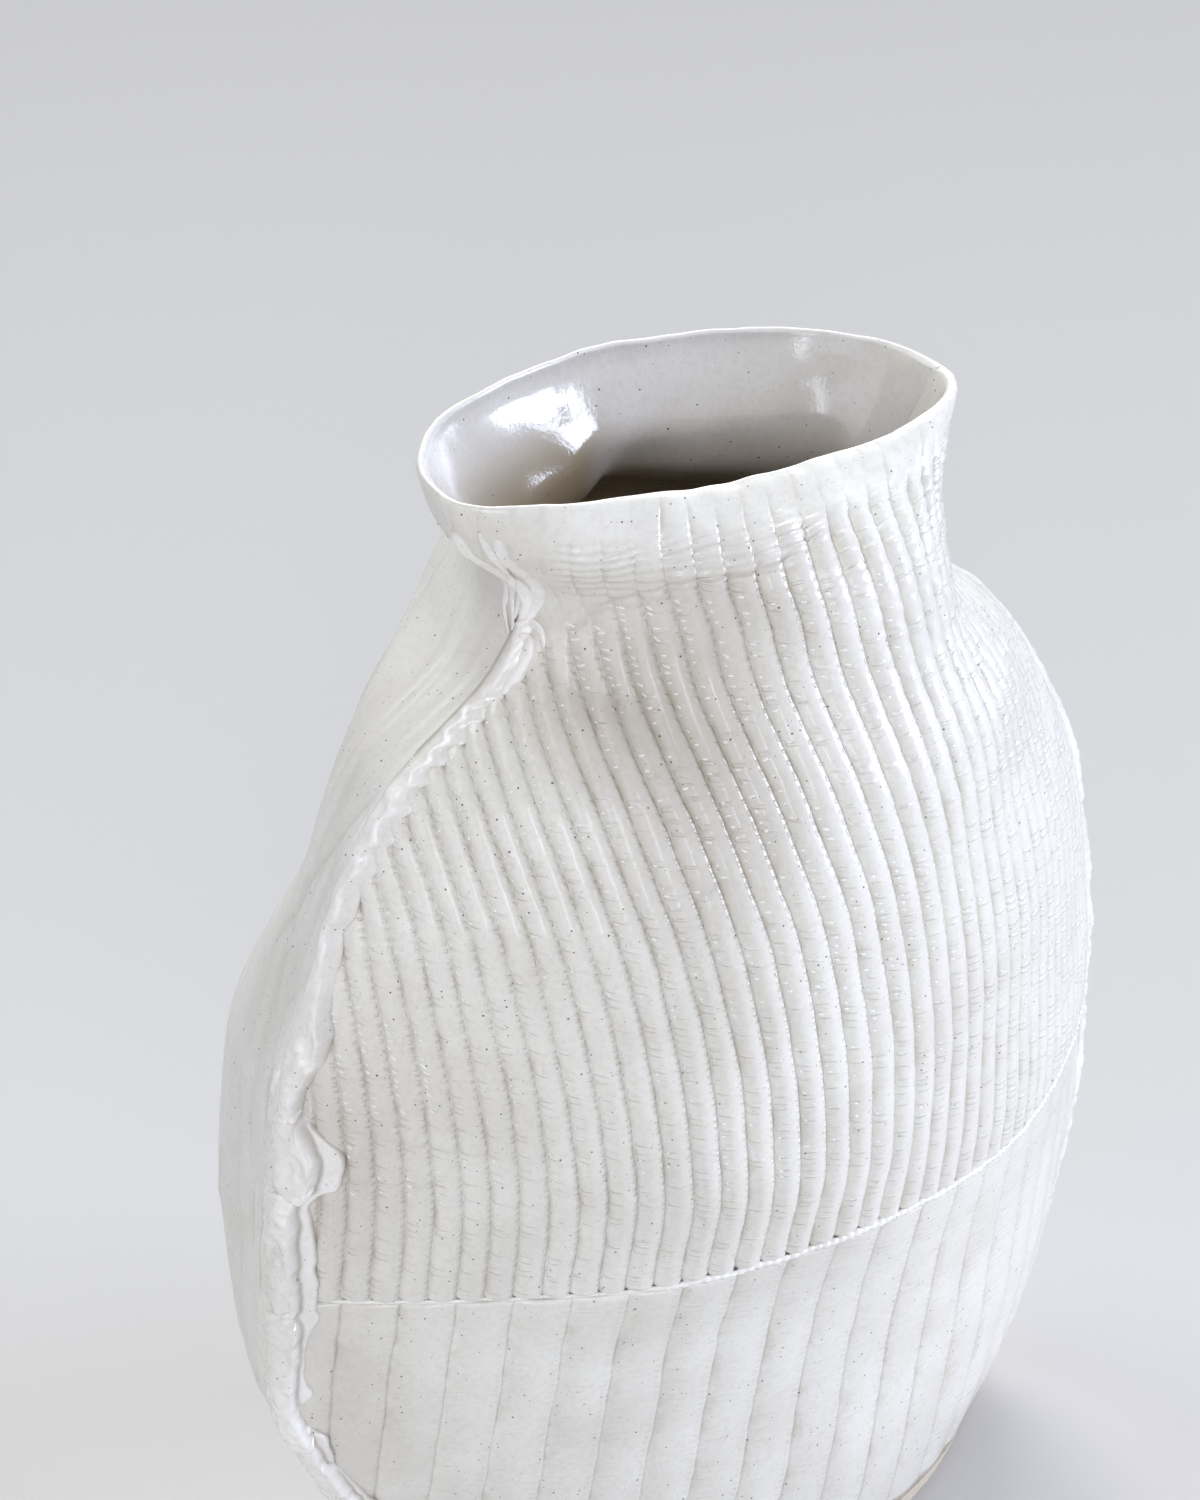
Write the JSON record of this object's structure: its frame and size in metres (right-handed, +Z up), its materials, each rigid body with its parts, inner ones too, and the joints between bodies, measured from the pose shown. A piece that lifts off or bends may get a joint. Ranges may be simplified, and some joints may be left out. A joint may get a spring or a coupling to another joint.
{
  "type": "moon jar",
  "caption": "Flattened slab-built stoneware jar with a wide tilted mouth, a knit-ribbed front, a plain back and pinched seams up both sides.",
  "frame": {"origin": "middle of the foot, on the surface that the jar stands on", "axes": "+Z up, X from the left seam to the right seam, the ribbed front faces -Y and the plain back +Y"},
  "size_m": [0.2266, 0.1472, 0.291],
  "materials": {
    "front_glaze": "glossy white glaze over knit-pressed speckled stoneware",
    "back_glaze": "glossy white glaze over smooth speckled stoneware",
    "seam_glaze": "glossy white glaze over a pinched clay roll",
    "inside_glaze": "glossy warm white glaze",
    "bare_stoneware": "unglazed matt stoneware"
  },
  "bodies": {
    "root": {"base_slab": "bare_stoneware", "base_coil": "inside_glaze", "inside_coil_left": "inside_glaze", "inside_coil_right": "inside_glaze", "front_lower_slab": "front_glaze", "front_upper_slab": "front_glaze", "back_slab": "back_glaze", "left_seam_roll_lower": "seam_glaze", "left_seam_roll_upper": "seam_glaze", "right_seam_roll_lower": "seam_glaze", "right_seam_roll_upper": "seam_glaze"}
  },
  "joints": []
}
